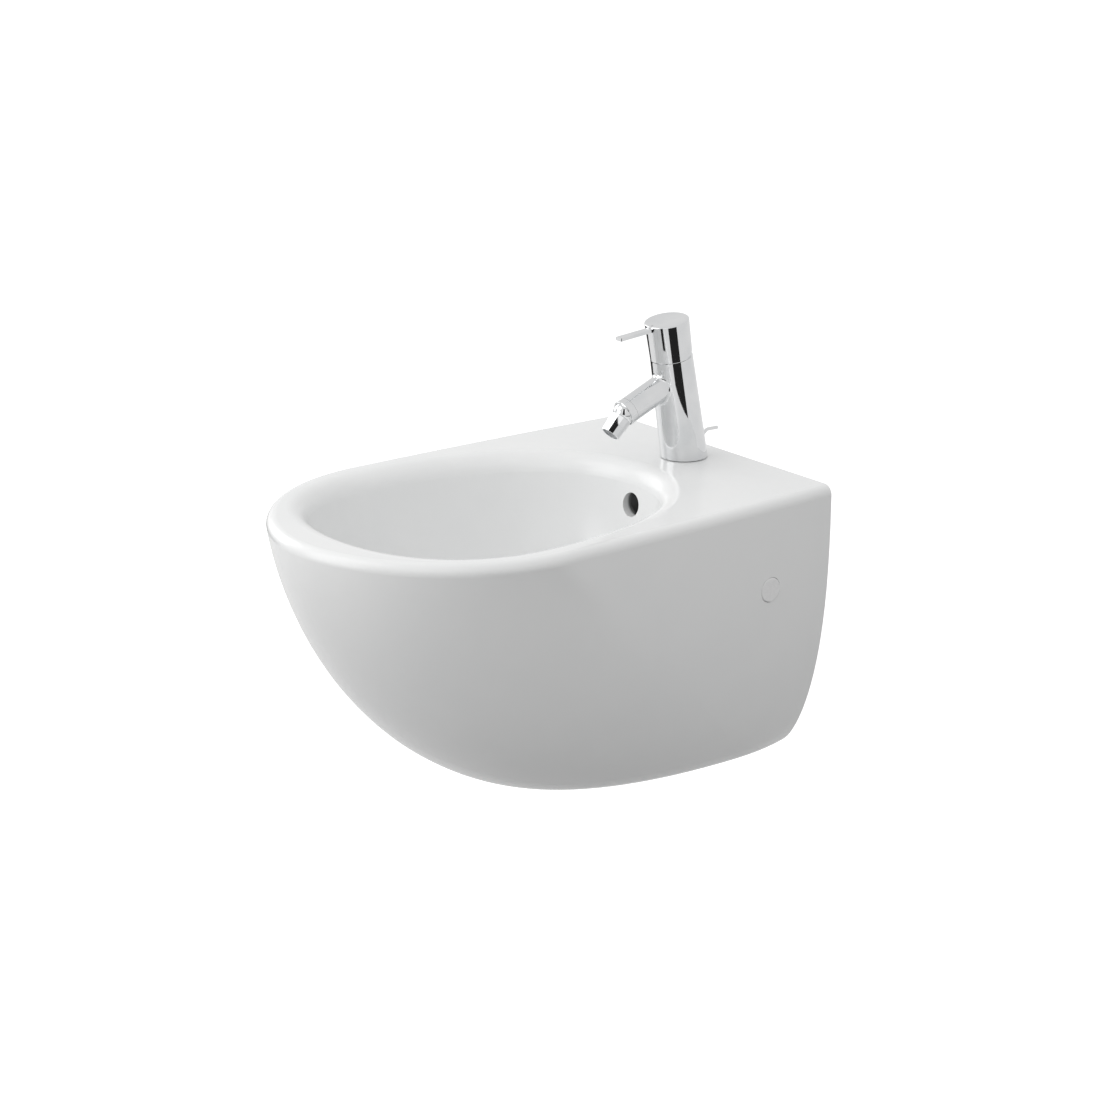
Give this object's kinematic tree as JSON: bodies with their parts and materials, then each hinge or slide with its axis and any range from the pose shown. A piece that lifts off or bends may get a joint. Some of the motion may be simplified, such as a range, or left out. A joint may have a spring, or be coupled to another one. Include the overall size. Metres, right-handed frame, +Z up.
{
  "type": "wall hung bidet",
  "caption": "Wall hung bidet in glazed ceramic with an oval bowl, overflow, single lever mixer with swivelling spray nozzle, and pop-up waste worked by a lift rod.",
  "frame": {"origin": "midway between the two wall studs, on the wall's face", "axes": "+Z up, -Y out from the wall along the bowl, +X to the right as seen from the wall's front"},
  "size_m": [0.37, 0.5293, 0.447],
  "materials": {
    "china": "gloss glaze",
    "chrome": "polished chrome on brass",
    "cap_chrome": "plated plastic",
    "zinc": "zinc plated steel",
    "stainless": "stainless steel",
    "brass": "machined brass",
    "copper": "drawn copper",
    "rubber": "matt black rubber",
    "grey_plastic": "moulded grey plastic",
    "white_plastic": "moulded white plastic",
    "disc_ceramic": "lapped alumina",
    "index": "plain inlay"
  },
  "bodies": {
    "fixed": {"ceramic_body": "china", "mixer_body": "chrome", "dome_cover": "chrome", "spout_collar": "chrome", "drain_flange": "chrome", "left_side_cap": "cap_chrome", "right_side_cap": "cap_chrome", "left_fixing_block": "zinc", "right_fixing_block": "zinc", "left_fixing_screw": "zinc", "right_fixing_screw": "zinc", "horseshoe_washer": "stainless", "deck_stud": "stainless", "deck_nut": "brass", "cartridge_nut": "brass", "drain_body": "brass", "tail_pipe": "brass", "hot_inlet_pipe": "copper", "cold_inlet_pipe": "copper", "base_gasket": "rubber", "deck_washer": "rubber", "inlet_seals": "rubber", "cartridge_seals": "rubber", "pivot_seal": "rubber", "flange_seal": "rubber", "drain_gasket": "rubber", "tail_seal": "rubber", "cartridge_base": "grey_plastic", "cartridge_housing": "grey_plastic", "left_screw_bush": "white_plastic", "right_screw_bush": "white_plastic", "pivot_nut": "white_plastic", "tail_nut": "white_plastic", "fixed_disc": "disc_ceramic"},
    "mixing_turn": {"mixing_collar": "brass", "pivot_pin": "stainless"},
    "lever": {"lever_handle": "chrome", "spindle": "brass", "handle_screw": "stainless", "index_dot": "index"},
    "upper_disc": {"moving_disc": "disc_ceramic"},
    "nozzle_swivel": {"nozzle_seat": "grey_plastic"},
    "nozzle": {"spray_nozzle": "chrome", "aerator": "grey_plastic"},
    "pull_rod": {"lift_rod": "chrome", "rod_clamp": "brass", "clamp_screws": "stainless", "linkage_strap": "stainless"},
    "rocker": {"ball_lever": "stainless"},
    "plug": {"stopper": "chrome", "stopper_seal": "rubber"}
  },
  "joints": [
    {"name": "temperature", "type": "hinge", "parent": "fixed", "child": "mixing_turn", "pos_m": [0, -0.06629, 0.20566], "axis": [0, -0.1685, 0.9857], "range_deg": [-45, 45]},
    {"name": "lever_lift", "type": "hinge", "parent": "mixing_turn", "child": "lever", "pos_m": [0, -0.06629, 0.20566], "axis": [-1, 0, 0], "range_deg": [0, 16]},
    {"name": "disc_slide", "type": "slide", "parent": "mixing_turn", "child": "upper_disc", "axis": [0, -0.9857, -0.1685], "range_m": [0, 0.0061]},
    {"name": "nozzle_turn", "type": "hinge", "parent": "fixed", "child": "nozzle_swivel", "pos_m": [0, -0.12643, 0.15158], "axis": [0, -0.9272, -0.3746], "continuous": true},
    {"name": "nozzle_tilt", "type": "hinge", "parent": "nozzle_swivel", "child": "nozzle", "pos_m": [0, -0.12643, 0.15158], "axis": [1, 0, 0], "range_deg": [-23, 0]},
    {"name": "rod_lift", "type": "slide", "parent": "fixed", "child": "pull_rod", "axis": [0, 0, 1], "range_m": [0, 0.021]},
    {"name": "rocker_tilt", "type": "hinge", "parent": "fixed", "child": "rocker", "pos_m": [0, -0.21, -0.118], "axis": [1, 0, 0], "range_deg": [0, 12.32]},
    {"name": "plug_drop", "type": "slide", "parent": "fixed", "child": "plug", "axis": [0, 0, -1], "range_m": [0, 0.00665]}
  ],
  "couplings": [
    {"joint": "disc_slide", "follows": "lever_lift", "m_per_rad": 0.0214},
    {"joint": "rocker_tilt", "follows": "rod_lift", "rad_per_m": 10.224},
    {"joint": "plug_drop", "follows": "rod_lift", "ratio": 0.31633}
  ]
}
